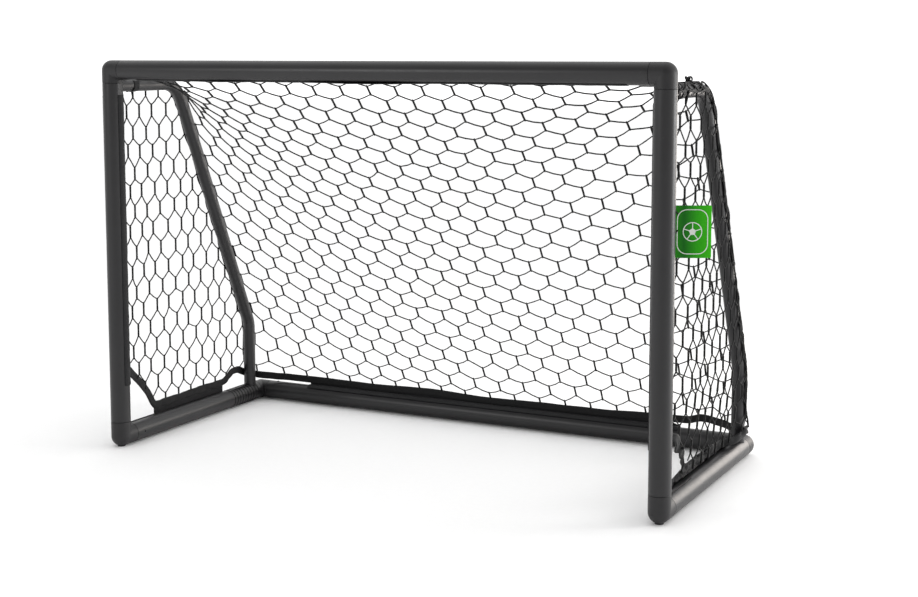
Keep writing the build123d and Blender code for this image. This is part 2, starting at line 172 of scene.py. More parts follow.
def zincPlatedSteel():
    # bright zinc over pressed steel: blue-white metal with soft cloudy patches
    plating = {"patch": 5, "brush": 0.5}  # mm
    material, tree, shader = newMaterial("zinc plated steel", {"Metallic": 1.0})
    where = add(tree, "ShaderNodeTexCoord").outputs["Object"]
    patch = add(tree, "ShaderNodeTexNoise", {"Scale": 1000 / plating["patch"], "Detail": 4.0},
                {"Vector": where})
    tint = add(tree, "ShaderNodeValToRGB", {"stops": [(0.3, colour("#a9acb0")), (0.7, colour("#cfd1d3"))]},
               {"Fac": patch.outputs["Fac"]}).outputs["Color"]
    tree.links.new(tint, shader.inputs["Base Color"])
    rough = add(tree, "ShaderNodeMapRange", {"To Min": 0.22, "To Max": 0.42}, {"Value": patch.outputs["Fac"]})
    tree.links.new(rough.outputs["Result"], shader.inputs["Roughness"])
    brush = add(tree, "ShaderNodeTexNoise", {"Scale": 1000 / plating["brush"], "Detail": 2.0},
                {"Vector": where})
    bump = add(tree, "ShaderNodeBump", {"Strength": 0.1, "Distance": 0.0001},
               {"Height": brush.outputs["Fac"]})
    tree.links.new(bump.outputs["Normal"], shader.inputs["Normal"])
    return material


def blackenedSteel():
    # chemically blackened steel: near black with a faint oily gloss, rubbed brighter in small spots
    oxide = {"rub": 3}  # mm
    material, tree, shader = newMaterial("blackened steel", {"Metallic": 0.6, "Specular IOR Level": 0.4})
    where = add(tree, "ShaderNodeTexCoord").outputs["Object"]
    rub = add(tree, "ShaderNodeTexNoise", {"Scale": 1000 / oxide["rub"], "Detail": 5.0}, {"Vector": where})
    tint = add(tree, "ShaderNodeValToRGB", {"stops": [(0.35, colour("#232324")), (0.75, colour("#3c3c3e"))]},
               {"Fac": rub.outputs["Fac"]}).outputs["Color"]
    tree.links.new(tint, shader.inputs["Base Color"])
    rough = add(tree, "ShaderNodeMapRange", {"To Min": 0.3, "To Max": 0.5}, {"Value": rub.outputs["Fac"]})
    tree.links.new(rough.outputs["Result"], shader.inputs["Roughness"])
    bump = add(tree, "ShaderNodeBump", {"Strength": 0.1, "Distance": 0.0001}, {"Height": rub.outputs["Fac"]})
    tree.links.new(bump.outputs["Normal"], shader.inputs["Normal"])
    return material


def braidedPolyethylene():
    # braided polyethylene twine: black with a slight wax sheen, and a braid that crosses every few mm, its
    # raised crests painted lighter as a painted highlight
    twine = {"braid": 3.2, "fuzz": 0.7, "fade": 120}  # mm
    material, tree, shader = newMaterial("braided polyethylene twine",
                                         {"IOR": 1.51, "Specular IOR Level": 0.25})
    where = add(tree, "ShaderNodeTexCoord").outputs["Object"]
    fade = add(tree, "ShaderNodeTexNoise", {"Scale": 1000 / twine["fade"], "Detail": 2.0}, {"Vector": where})
    tint = add(tree, "ShaderNodeValToRGB", {"stops": [(0.3, colour("#060607")), (0.7, colour("#0d0d0e"))]},
               {"Fac": fade.outputs["Fac"]}).outputs["Color"]
    rise = {"wave_type": "BANDS", "bands_direction": "DIAGONAL", "Scale": bandScale / twine["braid"],
            "Distortion": 1.0}
    wave = add(tree, "ShaderNodeTexWave", rise, {"Vector": where})
    fuzz = add(tree, "ShaderNodeTexNoise", {"Scale": 1000 / twine["fuzz"], "Detail": 2.0}, {"Vector": where})
    both = add(tree, "ShaderNodeMath", {"operation": "MULTIPLY"},
               {0: wave.outputs["Fac"], 1: fuzz.outputs["Fac"]})
    # painted highlight: the braid's raised crests get a lighter black
    paintedCrestHighlight = add(tree, "ShaderNodeMix", {"data_type": "RGBA", "B": colour("#161617")}, {"A": tint})
    tree.links.new(both.outputs["Value"], paintedCrestHighlight.inputs[0])
    tree.links.new(paintedCrestHighlight.outputs[2], shader.inputs["Base Color"])
    rough = add(tree, "ShaderNodeMapRange", {"To Min": 0.5, "To Max": 0.75}, {"Value": fuzz.outputs["Fac"]})
    tree.links.new(rough.outputs["Result"], shader.inputs["Roughness"])
    bump = add(tree, "ShaderNodeBump", {"Strength": 0.6, "Distance": 0.0005},
               {"Height": both.outputs["Value"]})
    tree.links.new(bump.outputs["Normal"], shader.inputs["Normal"])
    return material


def wovenPolyester(name, dark, light, threads, stitch):
    # woven polyester: dull threads over and under on the piece's own map, crossed by faint rows of stitches
    fabric = {"wear": 1000 / 30, "weaveShows": 0.35}  # mm, share
    material, tree, shader = newMaterial(name, {"Sheen Weight": 0.06, "Sheen Roughness": 0.5, "IOR": 1.55,
                                                "Specular IOR Level": 0.25})
    uv = add(tree, "ShaderNodeTexCoord").outputs["UV"]
    waves = []
    for direction in ("X", "Y"):
        band = {"wave_type": "BANDS", "bands_direction": direction, "Scale": bandScale / threads,
                "Distortion": 0.6, "Detail": 1.0}
        waves.append(add(tree, "ShaderNodeTexWave", band, {"Vector": uv}).outputs["Fac"])
    weave = add(tree, "ShaderNodeMath", {"operation": "MULTIPLY"},
                {0: waves[0], 1: waves[1]}).outputs["Value"]
    wear = add(tree, "ShaderNodeTexNoise", {"Scale": 1000 / fabric["wear"], "Detail": 4.0}, {"Vector": uv})
    tint = add(tree, "ShaderNodeValToRGB", {"stops": [(0.3, colour(dark)), (0.7, colour(light))]},
               {"Fac": wear.outputs["Fac"]}).outputs["Color"]
    thread = add(tree, "ShaderNodeMix", {"data_type": "RGBA", "B": colour("#262628")}, {"A": tint})
    faint = add(tree, "ShaderNodeMath", {"operation": "MULTIPLY", 1: fabric["weaveShows"]}, {0: weave})
    tree.links.new(faint.outputs["Value"], thread.inputs[0])
    tree.links.new(thread.outputs[2], shader.inputs["Base Color"])
    rough = add(tree, "ShaderNodeMapRange", {"To Min": 0.62, "To Max": 0.85}, {"Value": wear.outputs["Fac"]})
    tree.links.new(rough.outputs["Result"], shader.inputs["Roughness"])
    rows = add(tree, "ShaderNodeTexWave", {"bands_direction": "X", "Scale": bandScale / stitch},
               {"Vector": uv})
    sewn = add(tree, "ShaderNodeMath", {"operation": "MULTIPLY_ADD", 1: 0.3},
               {0: rows.outputs["Fac"], 2: weave})
    bump = add(tree, "ShaderNodeBump", {"Strength": 0.5, "Distance": 0.0004},
               {"Height": sewn.outputs["Value"]})
    tree.links.new(bump.outputs["Normal"], shader.inputs["Normal"])
    return material


def mattSurface(name, hexText, roughness, shade):
    # print or paper: one dull colour, with faint clouds that are darker by the shade
    cloudSize = 1000 / 60  # mm
    material, tree, shader = newMaterial(name, {"Roughness": roughness})
    where = add(tree, "ShaderNodeTexCoord").outputs["Object"]
    cloud = add(tree, "ShaderNodeTexNoise", {"Scale": 1000 / cloudSize, "Detail": 3.0}, {"Vector": where})
    base = colour(hexText)
    darker = [c * shade for c in base[:3]] + [1]
    tint = add(tree, "ShaderNodeValToRGB", {"stops": [(0.3, darker), (0.7, base)]},
               {"Fac": cloud.outputs["Fac"]}).outputs["Color"]
    tree.links.new(tint, shader.inputs["Base Color"])
    return material


def printedLabel(width):
    # printed satin ribbon: one green, running light, dark and light again across the width as painted shade
    # and painted highlight, with a fine weave under it
    ribbon = {"weave": 0.8}  # mm
    # one green with a painted shade band near the left and painted highlight towards both edges
    paintedShadeGreens = ((0.0, "#259008"), (0.28, "#0a680e"), (0.62, "#26a002"), (1.0, "#38b804"))
    material, tree, shader = newMaterial("printed satin ribbon",
                                         {"Roughness": 0.5, "Specular IOR Level": 0.2})
    uv = add(tree, "ShaderNodeTexCoord").outputs["UV"]
    across = add(tree, "ShaderNodeSeparateXYZ", links={"Vector": uv}).outputs["X"]
    share = add(tree, "ShaderNodeMath", {"operation": "DIVIDE", 1: width}, {0: across}).outputs["Value"]
    tint = add(tree, "ShaderNodeValToRGB", {"stops": [(place, colour(green)) for place, green in paintedShadeGreens]},
               {"Fac": share}).outputs["Color"]
    tree.links.new(tint, shader.inputs["Base Color"])
    weave = add(tree, "ShaderNodeTexWave", {"bands_direction": "Y", "Scale": bandScale / ribbon["weave"]},
                {"Vector": uv})
    bump = add(tree, "ShaderNodeBump", {"Strength": 0.15, "Distance": 0.0002},
               {"Height": weave.outputs["Fac"]})
    tree.links.new(bump.outputs["Normal"], shader.inputs["Normal"])
    return material


finish = {
    "tube": powderCoatedSteel(),
    "corner": mouldedNylon(),
    "steel": zincPlatedSteel(),
    "darkSteel": blackenedSteel(),
    "net": braidedPolyethylene(),
    "webbing": wovenPolyester("woven polyester webbing", "#0b0b0c", "#121213", 1.1, 3.5),
    "sleeve": wovenPolyester("woven polyester sleeve", "#101012", "#19191b", 0.8, 4.0),
    "flap": wovenPolyester("coated polyester flap", "#0d0d0f", "#171719", 0.7, 4.0),
    "ink": mattSurface("white print", "#e9efe6", 0.5, 0.9),
}

for name, node in nodes.items():
    kind = "tube"
    if name.endswith(("corner", "foot")):
        kind = "corner"
    elif name.endswith("button"):
        kind = "darkSteel"
    elif name == "spring_clips":
        kind = "steel"
    node.data.materials.clear()
    node.data.materials.append(finish[kind])
print("materials made")


def finished(name, mesh, material, slotName, *replaced):
    piece = bpy.data.objects.new(name, mesh)
    bpy.context.scene.collection.objects.link(piece)
    piece.data.materials.append(material)
    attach(piece, "frame")
    if replaced:
        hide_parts(*replaced)
    return piece


def clothPiece(name, cloth, place, material, slotName, replaced):
    # a strip of cloth: place(a, b) gives the point at share a along its length and b across its width
    bm = bmesh.new()
    layer = bm.loops.layers.uv.new("UVMap")
    bmesh.ops.create_grid(bm, x_segments=cloth["along"], y_segments=cloth["across"], size=0.5)
    width, length = cloth["flat"]
    for face in bm.faces:
        for loop in face.loops:
            loop[layer].uv = ((loop.vert.co.x + 0.5) * length, (loop.vert.co.y + 0.5) * width)
    for vert in bm.verts:
        vert.co = place(vert.co.x + 0.5, vert.co.y + 0.5)
    mesh = bpy.data.meshes.new(name)
    bm.to_mesh(mesh)
    bm.free()
    for polygon in mesh.polygons:
        polygon.use_smooth = True
    piece = finished(name, mesh, material, slotName, *replaced)
    thick = piece.modifiers.new("cloth thickness", "SOLIDIFY")
    thick.thickness = cloth["thick"]
    thick.offset = 0
    smooth = piece.modifiers.new("smooth", "SUBSURF")
    smooth.levels = smooth.render_levels = 1


def through(points, share):
    # a smooth line (Catmull-Rom) through given points, at a share of its length
    lengths = [0.0]
    for a, b in zip(points, points[1:]):
        lengths.append(lengths[-1] + (Vector(b) - Vector(a)).length)
    target = min(max(share, 0.0), 1.0) * lengths[-1]
    i = 0
    while i < len(points) - 2 and lengths[i + 1] < target:
        i += 1
    t = (target - lengths[i]) / max(lengths[i + 1] - lengths[i], 1e-9)
    p0, p1 = Vector(points[max(i - 1, 0)]), Vector(points[i])
    p2, p3 = Vector(points[i + 1]), Vector(points[min(i + 2, len(points) - 1)])
    return 0.5 * (2 * p1 + (p2 - p0) * t + (2 * p0 - 5 * p1 + 4 * p2 - p3) * t * t
                  + (3 * p1 - p0 - 3 * p2 + p3) * t ** 3)


def crease(x, y, z, size, height):
    # a small soft wrinkle, the same each run
    return noise.noise(Vector((x, y, z)) / size) * height


net = {
    "backWidth": 0.0882,  # one cell
    "backRows": 24,
    "backJoined": 0.033,
    "sideWidth": 0.0675,
    "sideRow": 0.062,
    "sideStart": 0.02,
    "sideRows": 19,
    "sideJoined": 0.036,
    "backTwine": (0.0041, 0.0066),  # thin sides, joined sides
    "sideTwine": (0.0040, 0.0066),
    "pairGap": 0.0028,
    "backJitter": 0.0019,
    "sideJitter": 0.0030,
    "sag": 0.0015,  # of each strand between two joints
    "stray": 0.0012,
    # along a joint: the place and the thickness, as shares of its length and of the joined twine's
    "knit": ((-0.62, 0.45), (-0.42, 1.0), (0.0, 0.92), (0.42, 1.0), (0.62, 0.45)),
    "gridAcross": 40,
    "gridDown": 30,
    "relaxSteps": 700,
    "relax": 0.9,
    "hugRadius": stanchionRadius + 0.0032,
    "innerAngle": -28,  # degrees round the stanchion, from its rear towards its outer side
    "outerAngle": 95,
    "barAngle": 30,  # where it hangs on the crossbar, degrees below level
    "barCorner": 0.05,  # the width beside the stanchion where it goes from the arm to the crossbar
    "drop": 1.28,  # the back net's height along the cloth
}

backHem = {
    "flat": (0.0245, 1.752),
    "thick": 0.0032,
    "y": backBar.y + 0.0058,
    "turnIn": 0.76,  # the x where it starts to turn in towards the stanchion's foot
    "turnLength": 0.115,
    "footGap": 0.013,
    "ends": 0.004,  # past the stanchion's middle
    "wave": 0.0014,
    "top": (  # its upper edge, (x, z): nearly level, with an arch near the right end
        (-0.88, 0.100), (-0.83, 0.096), (-0.79, 0.092), (-0.54, 0.091), (-0.42, 0.089), (-0.20, 0.094),
        (0.00, 0.087), (0.25, 0.090), (0.40, 0.090), (0.55, 0.095), (0.69, 0.098), (0.735, 0.109),
        (0.80, 0.103), (0.875, 0.095),
    ),
}


def eased(t):
    # 0 to 1 with soft ends
    t = min(1.0, max(0.0, t))
    return t * t * (3 - 2 * t)


def hemTopAt(x):
    top = backHem["top"]
    for (ax, az), (bx, bz) in zip(top, top[1:]):
        if x <= bx:
            return az + (bz - az) * eased((x - ax) / (bx - ax))
    return top[-1][1]


def hemYAt(x):
    # the back hem runs behind the back base and turns in round the stanchions' feet
    turned = eased((abs(x) - backHem["turnIn"]) / backHem["turnLength"])
    return backHem["y"] - (backHem["y"] - footY - stanchionRadius - backHem["footGap"]) * turned


bends = {"radius": 0.1, "slopeRun": 0.382, "footHeight": 0.274, "footEnd": 0.16}  # the stanchion's, as bent


def stanchionLine(offset, steps=9):
    # (y, z) beside the stanchion's axis, from the post down to the back hem
    turn = pi / 2 - atan2(bends["slopeRun"], armZ - bends["footHeight"])
    radius = bends["radius"]
    bendY = footY - bends["slopeRun"]
    first = (bendY - radius * tan(turn / 2), armZ - radius)
    rest = pi / 2 - turn
    cut = radius * tan(rest / 2)
    second = (footY - radius, bends["footHeight"] - cut)
    line = [(postRear, armZ + offset)]
    for centre, low, high in ((first, 0, turn), (second, turn, pi / 2)):
        for k in range(steps):
            angle = low + (high - low) * k / (steps - 1)
            reach = radius + offset
            line.append((centre[0] + reach * sin(angle), centre[1] + reach * cos(angle)))
    return line


def endLine(side, offset):
    # the same line, carried on to the back hem
    onHem = (hemYAt(postX), hemTopAt(side * postX))
    return stanchionLine(offset) + [(footY + offset, bends["footEnd"]), onHem]


def atShare(line, share):
    # the point at a share of a line's length
    lengths = [0.0]
    for (ay, az), (by, bz) in zip(line, line[1:]):
        lengths.append(lengths[-1] + hypot(by - ay, bz - az))
    target = share * lengths[-1]
    for i in range(len(line) - 1):
        if target <= lengths[i + 1] or i == len(line) - 2:
            t = (target - lengths[i]) / max(lengths[i + 1] - lengths[i], 1e-9)
            (ay, az), (by, bz) = line[i], line[i + 1]
            return ay + (by - ay) * t, az + (bz - az) * t


def hugged(side, angle, share):
    # a point of the net where it lies on the stanchion
    reach = net["hugRadius"]
    y, z = atShare(endLine(side, reach * cos(radians(angle))), share)
    return Vector((side * (postX + reach * sin(radians(angle))), y, z))


netTopY = bar.y + tubeRadius * cos(radians(net["barAngle"])) + 0.001
netTopZ = bar.z - tubeRadius * sin(radians(net["barAngle"]))
netEdge = postX + net["hugRadius"] * sin(radians(net["innerAngle"]))


def backEdge(a, b):
    # the pinned edges of the back net's sheet: a runs across, b runs down
    x = netEdge * (2 * a - 1)
    if a in (0, 1):
        return hugged(1 if a else -1, net["innerAngle"], b)
    if b == 0:
        near = min(1.0, (netEdge - abs(x)) / net["barCorner"])
        y = postRear + (netTopY - postRear) * near
        z = armZ + stanchionRadius + (netTopZ - armZ - stanchionRadius) * near
        return Vector((x, y, z))
    return Vector((x, hemYAt(x), hemTopAt(x)))


def backSheet():
    # the back net as a soap film between the crossbar, the stanchions and the back hem
    across, down = net["gridAcross"], net["gridDown"]
    bm = bmesh.new()
    bmesh.ops.create_grid(bm, x_segments=across, y_segments=down, size=0.5)
    inner = []
    for vert in bm.verts:
        a, b = round(vert.co.x + 0.5, 6), round(0.5 - vert.co.y, 6)
        if a in (0, 1) or b in (0, 1):
            vert.co = backEdge(a, b)
        else:
            upDown = backEdge(a, 0) * (1 - b) + backEdge(a, 1) * b
            sideways = backEdge(0, b) * (1 - a) + backEdge(1, b) * a
            vert.co = upDown * 0.9 + sideways * 0.1
            inner.append(vert)
    for _ in range(net["relaxSteps"]):
        bmesh.ops.smooth_vert(bm, verts=inner, factor=net["relax"],
                              use_axis_x=True, use_axis_y=True, use_axis_z=True)
    bm.verts.ensure_lookup_table()
    rows = [[bm.verts[j * (across + 1) + i].co.copy() for i in range(across + 1)] for j in range(down + 1)]
    bm.free()
    return rows[::-1]


sheetRows = backSheet()


def backPoint(x, share):
    # x is measured along the cloth, and runs on round the stanchions past the sheet's edges
    side = 1 if x > 0 else -1
    beyond = abs(x) - netEdge
    if beyond > 0:
        angle = net["innerAngle"] + degrees(beyond / net["hugRadius"])
        return hugged(side, min(angle, net["outerAngle"]), share)
    a = (x / netEdge + 1) / 2 * net["gridAcross"]
    b = share * net["gridDown"]
    i, j = min(int(a), net["gridAcross"] - 1), min(int(b), net["gridDown"] - 1)
    s, t = a - i, b - j
    upper = sheetRows[j][i].lerp(sheetRows[j][i + 1], s)
    lower = sheetRows[j + 1][i].lerp(sheetRows[j + 1][i + 1], s)
    return upper.lerp(lower, t)


hugLine = [Vector((0, y, z)) for y, z in stanchionLine(0, 14)] + [Vector((0, footY, baseTop))]


def clearOfStanchion(point):
    # a strand that would run through the stanchion lies on it instead
    if abs(abs(point.x) - postX) > net["hugRadius"]:
        return point
    side = 1 if point.x > 0 else -1
    best, gap = None, 1.0
    for a, b in zip(hugLine, hugLine[1:]):
        start, end = a + Vector((side * postX, 0, 0)), b + Vector((side * postX, 0, 0))
        run = end - start
        t = min(max((point - start).dot(run) / run.length_squared, 0), 1)
        near = start + run * t
        if (point - near).length < gap:
            best, gap = near, (point - near).length
    if best is None or gap >= net["hugRadius"]:
        return point
    outward = (point - best).normalized() if gap > 0.002 else Vector((0, 0.7, 0.7))
    return best + outward * net["hugRadius"]


def netMesh(name, strands):
    # strands are (points, radii); each becomes a round cord of the one mesh
    curve = bpy.data.curves.new(name, "CURVE")
    curve.dimensions = "3D"
    curve.bevel_depth = 1.0
    curve.bevel_resolution = 1
    curve.use_fill_caps = True
    for points, radii in strands:
        spline = curve.splines.new("POLY")
        spline.points.add(len(points) - 1)
        for target, point, radius in zip(spline.points, points, radii):
            target.co = (*point, 1)
            target.radius = radius
    carrier = bpy.data.objects.new(name, curve)
    mesh = bpy.data.meshes.new_from_object(carrier)
    bpy.data.objects.remove(carrier)
    mesh.name = name
    for polygon in mesh.polygons:
        polygon.use_smooth = True
    return mesh


def edgeBetween(point, inside, outside, halvings=7):
    # the last place on the net between one inside it and one outside it
    for _ in range(halvings):
        half = ((inside[0] + outside[0]) / 2, (inside[1] + outside[1]) / 2)
        if point(*half) is None:
            outside = half
        else:
            inside = half
    return point(*inside)


def latticeStrands(first, last, width, levels, rowAt, joined, point, seed, twine, jitter):
    # strands that zigzag down and pair up with a neighbour at each level; levels are row numbers
    shake = random.Random(seed)
    knots = {}
    for key in range(2 * first - 2, 2 * last + 3):
        for level in levels:
            knots[key, level] = (shake.gauss(0, jitter), shake.gauss(0, jitter))
    strands = []
    thin, thick = twine[0] / 2, twine[1] / 2
    for k in range(first, last + 1):
        run = []
        for level in levels:
            lean = 1 if (k + level) % 2 == 0 else -1
            key = 2 * k + lean
            dx, dv = knots[key, level]
            x = key * width / 4 - lean * net["pairGap"] / 2 + dx
            v = rowAt(level) + dv
            if run:
                before = run[-1]
                middleX, middleV = (before[0] + x) / 2, (before[1] + v - joined / 2) / 2 + net["sag"]
                run.append((middleX + shake.gauss(0, net["stray"]), middleV, thin))
            run.append((x, v - joined / 2, thin))
            run.append((x, v + joined / 2, thin))
            if lean > 0:
                between = x + net["pairGap"] / 2
                strands.append([(between, v + joined * along, thick * size) for along, size in net["knit"]])
        strands.append(run)
    placed = []
    for strand in strands:
        run, radii, before = [], [], None
        for x, v, radius in strand:
            found = point(x, v)
            crossing = before is not None and (found is None) != (point(*before) is None)
            if crossing:
                inside, outside = (before, (x, v)) if found is None else ((x, v), before)
                run.append(clearOfStanchion(edgeBetween(point, inside, outside)))
                radii.append(radius)
            if found is None:
                if len(run) > 1:
                    placed.append((run, radii))
                run, radii = [], []
            else:
                run.append(clearOfStanchion(found))
                radii.append(radius)
            before = (x, v)
        if len(run) > 1:
            placed.append((run, radii))
    return placed


backHalf = netEdge + net["hugRadius"] * radians(net["outerAngle"] - net["innerAngle"])


def backAt(x, v):
    share = v / net["drop"]
    if abs(x) > backHalf + net["backWidth"] / 4:
        return None
    return backPoint(max(-backHalf, min(backHalf, x)), min(max(share, 0), 1))


halfCells = ceil(backHalf * 2 / net["backWidth"])
backStrands = latticeStrands(
    -halfCells, halfCells, net["backWidth"], range(0, net["backRows"] + 1),
    lambda level: level * net["drop"] / net["backRows"], net["backJoined"], backAt, 11,
    net["backTwine"], net["backJitter"])
finished("backNet", netMesh("backNet", backStrands), finish["net"], "net", "back_net")
print("back net made,", len(backStrands), "strands")

sideHems = {
    # the hem's middle as (distance outside the post's middle, y, z), from the post down to the flap,
    # along it, up over the stanchion's foot and on to the back
    "left": [(0.004, -0.350, 0.240), (0.010, -0.325, 0.226), (0.016, -0.298, 0.205), (0.020, -0.254, 0.168),
             (0.022, -0.217, 0.130), (0.0225, -0.192, 0.092), (0.0225, -0.165, 0.085), (0.0225, 0.0, 0.086),
             (0.0225, 0.130, 0.087), (0.0225, 0.184, 0.088), (0.0228, 0.214, 0.100), (0.0232, 0.239, 0.112),
             (0.0236, 0.272, 0.113), (0.0238, 0.300, 0.103), (0.0225, 0.326, 0.092), (0.013, 0.343, 0.084),
             (0.002, 0.3465, 0.081)],
    "right": [(0.004, -0.350, 0.240), (0.008, -0.315, 0.222), (0.008, -0.272, 0.190), (0.002, -0.225, 0.158),
              (-0.004, -0.196, 0.136), (-0.008, -0.172, 0.106), (-0.012, -0.150, 0.086),
              (-0.017, -0.115, 0.080), (-0.018, -0.040, 0.081), (-0.018, 0.060, 0.079),
              (-0.016, 0.150, 0.078), (-0.008, 0.200, 0.078), (0.014, 0.236, 0.080), (0.0246, 0.272, 0.088),
              (0.0250, 0.302, 0.092), (0.0225, 0.326, 0.090), (0.013, 0.343, 0.084), (0.002, 0.3465, 0.081)],
}
hem = {"half": 0.0125, "thick": 0.0055, "roll": {"left": 0.0024, "right": 0.0120}}

for sideName, side in sides.items():
    line = sideHems[sideName]

    def place(a, b, side=side, sideName=sideName, line=line):
        here, ahead = through(line, a), through(line, min(1.0, a + 0.01))
        behind = through(line, max(0.0, a - 0.01))
        run = ahead - behind
        across = Vector((0, -run.z, run.y)).normalized()
        point = here + across * hem["half"] * (1 - 2 * b)
        roll = crease(a * 24, b * 1.5, side, 0.7, hem["roll"][sideName])
        return Vector((side * (postX + point.x + roll), point.y, point.z + roll * 0.7))

    length = sum((Vector(b) - Vector(a)).length for a, b in zip(line, line[1:]))
    cloth = {"along": 110, "across": 4, "flat": (2 * hem["half"], round(length, 3)), "thick": hem["thick"]}
    clothPiece(sideName + "Hem", cloth, place, finish["webbing"], "webbing", [sideName + "_hem"])


def backHemPlace(a, b):
    x = (2 * a - 1) * (postX + backHem["ends"])
    z = hemTopAt(x) - b * backHem["flat"][0]
    wave = crease(x * 12, b * 0.5, 2, 0.8, backHem["wave"])
    return Vector((x, hemYAt(x) + wave, z + wave * 0.4))


clothPiece("backHem", {"along": 150, "across": 4, "flat": backHem["flat"], "thick": backHem["thick"]},
           backHemPlace, finish["webbing"], "webbing", ["back_hem"])
print("hems made")

flap = {"thick": 0.0012, "radius": tubeRadius + 0.0015}
backFlap = {
    "flat": (0.040, 1.336),
    "half": 0.668,
    "standing": 0.3,  # the share of the width from the hem to the tube
    "meet": 78,  # degrees up from the tube's rear
    "end": 132,
    "tuck": 0.003,  # behind the hem's lower edge
    "droop": 0.012,  # at its right end, over the last of its length
    "droopLength": 0.03,
    "wave": 0.0016,
    "ragged": (0.0012, 0.0008),  # the free edge, in long and short waves
}


def backFlapPlace(a, b):
    # from the hem down to the tube and forward over its top
    x = (2 * a - 1) * backFlap["half"]
    taper = max(0.0, 1 - (backFlap["half"] - x) / backFlap["droopLength"])
    longWave, shortWave = backFlap["ragged"]
    edge = longWave * noise.noise(Vector((x * 18, 3, 0))) + shortWave * noise.noise(Vector((x * 55, 7, 0)))
    top = hemTopAt(x) - backHem["flat"][0] + backFlap["tuck"] - backFlap["droop"] * taper
    meet, standing = radians(backFlap["meet"]), backFlap["standing"]
    radius = flap["radius"] + 0.0005 + abs(crease(x * 20, b, 5, 0.8, backFlap["wave"])) * b
    if b < standing:
        seat = Vector((x, backBar.y + radius * cos(meet), backBar.z + radius * sin(meet)))
        return Vector((x, backHem["y"], top)).lerp(seat, b / standing)
    laid = (b - standing) / (1 - standing)
    angle = meet + (radians(backFlap["end"]) - meet) * laid + edge * 14 * b
    return Vector((x, backBar.y + radius * cos(angle), backBar.z + radius * sin(angle)))


clothPiece("backFlap", {"along": 150, "across": 10, "flat": backFlap["flat"], "thick": flap["thick"]},
           backFlapPlace, finish["flap"], "webbing", ["back_flap"])

leftFlap = {
    "flat": (0.049, 0.374),
    "front": -0.192,
    "rear": 0.182,
    "top": 0.080,
    "out": 0.0222,  # its top edge, from the tube's middle
    "meet": 45,  # degrees up from the tube's outer side
    "wrap": 40,
    "wave": 0.0015,
}


def leftFlapPlace(a, b):
    # hangs from the hem and runs down the outer side of the tube
    y = leftFlap["front"] + (leftFlap["rear"] - leftFlap["front"]) * a
    wave = crease(y * 20, b, 8, 0.9, leftFlap["wave"])
    meet = radians(leftFlap["meet"])
    radius = flap["radius"] + abs(wave) * 0.5
    if b < 0.5:
        top = Vector((-(postX + leftFlap["out"] + wave * 0.5), y, leftFlap["top"]))
        seat = Vector((-(postX + radius * cos(meet)), y, backBar.z + radius * sin(meet)))
        return top.lerp(seat, b / 0.5)
    angle = meet - (b - 0.5) / 0.5 * radians(leftFlap["wrap"])
    return Vector((-(postX + radius * cos(angle)), y, backBar.z + radius * sin(angle)))


clothPiece("leftFlap", {"along": 60, "across": 10, "flat": leftFlap["flat"], "thick": flap["thick"]},
           leftFlapPlace, finish["flap"], "webbing", ["left_flap"])

rightFlap = {
    "flat": (0.085, 0.60),
    "front": -0.262,
    "rear": 0.302,
    "standing": 0.5,  # the share of the width above the tube
    "crestIn": 0.013,
    "crestUp": 0.058,
    "frontSlope": 0.12,  # the shares of its length over which the crest rises and falls
    "rearSlope": 0.10,
    "gap": 0.0016,
    "touch": 122,  # where it meets the tube, degrees from the outer side
    "under": 196,  # and where it ends
    "bigFold": 0.024,
    "smallFold": 0.011,
}


def rightFlapPlace(a, b):
    # loose and crumpled: it stands above the tube, then falls down the tube's inner side
    y = rightFlap["front"] + (rightFlap["rear"] - rightFlap["front"]) * a
    ends = min(1.0, a / rightFlap["frontSlope"], (1 - a) / rightFlap["rearSlope"])
    big = noise.noise(Vector((y * 22, b * 1.9, 4))) * rightFlap["bigFold"]
    small = noise.noise(Vector((y * 64, b * 4.2, 9))) * rightFlap["smallFold"]
    seat = tubeRadius + rightFlap["gap"]
    turn = radians(rightFlap["touch"])
    if b < rightFlap["standing"]:
        t = b / rightFlap["standing"]
        touch = Vector((seat * cos(turn), seat * sin(turn)))
        crest = Vector((-rightFlap["crestIn"], seat + (rightFlap["crestUp"] - seat) * ends + big * 0.5))
        at = crest.lerp(touch, t)
        at.x += (big + small) * (0.4 + 1.2 * t * (1 - t)) - 0.006 * sin(pi * t)
        at.y += small * (1 - t)
    else:
        t = (b - rightFlap["standing"]) / (1 - rightFlap["standing"])
        turn += (radians(rightFlap["under"]) - turn) * t
        reach = seat + abs(big + small) * (0.5 + 0.8 * t)
        at = Vector((reach * cos(turn), reach * sin(turn)))
    return Vector((postX + at.x, y, backBar.z + at.y))


clothPiece("rightFlap", {"along": 130, "across": 18, "flat": rightFlap["flat"], "thick": flap["thick"]},
           rightFlapPlace, finish["flap"], "webbing", ["right_flap"])
print("flaps made")

sleeve = {
    "barFlat": (0.082, 1.545),
    "postWidth": 0.070,
    "thick": 0.0012,
    "gap": 0.0009,
    "barHalf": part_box("crossbar_sleeve")[1].x,
    "barAngles": (-118, 35),  # degrees round the tube, from its rear
    "postAngles": {"left": (-22, 105), "right": (75, 202)},  # and from its right
    "sag": 0.006,  # of the crossbar's sleeve, at its lower edge
    "sagWidth": 0.32,
    "barWave": 0.0014,
    "postWave": 0.0030,
}


def barSleevePlace(a, b):
    x = (2 * a - 1) * sleeve["barHalf"]
    low, high = sleeve["barAngles"]
    angle = radians(low + (high - low) * b)
    slack = max(0.0, 1 - b / sleeve["sagWidth"])
    hang = max(0.0, noise.noise(Vector((x * 4.2, 1.5, 0))) + 0.12) * sleeve["sag"] * slack
    radius = tubeRadius + sleeve["gap"] + hang + abs(crease(x * 16, b * 2, 1, 0.7, sleeve["barWave"]))
    return Vector((x, bar.y + radius * cos(angle), bar.z + radius * sin(angle)))


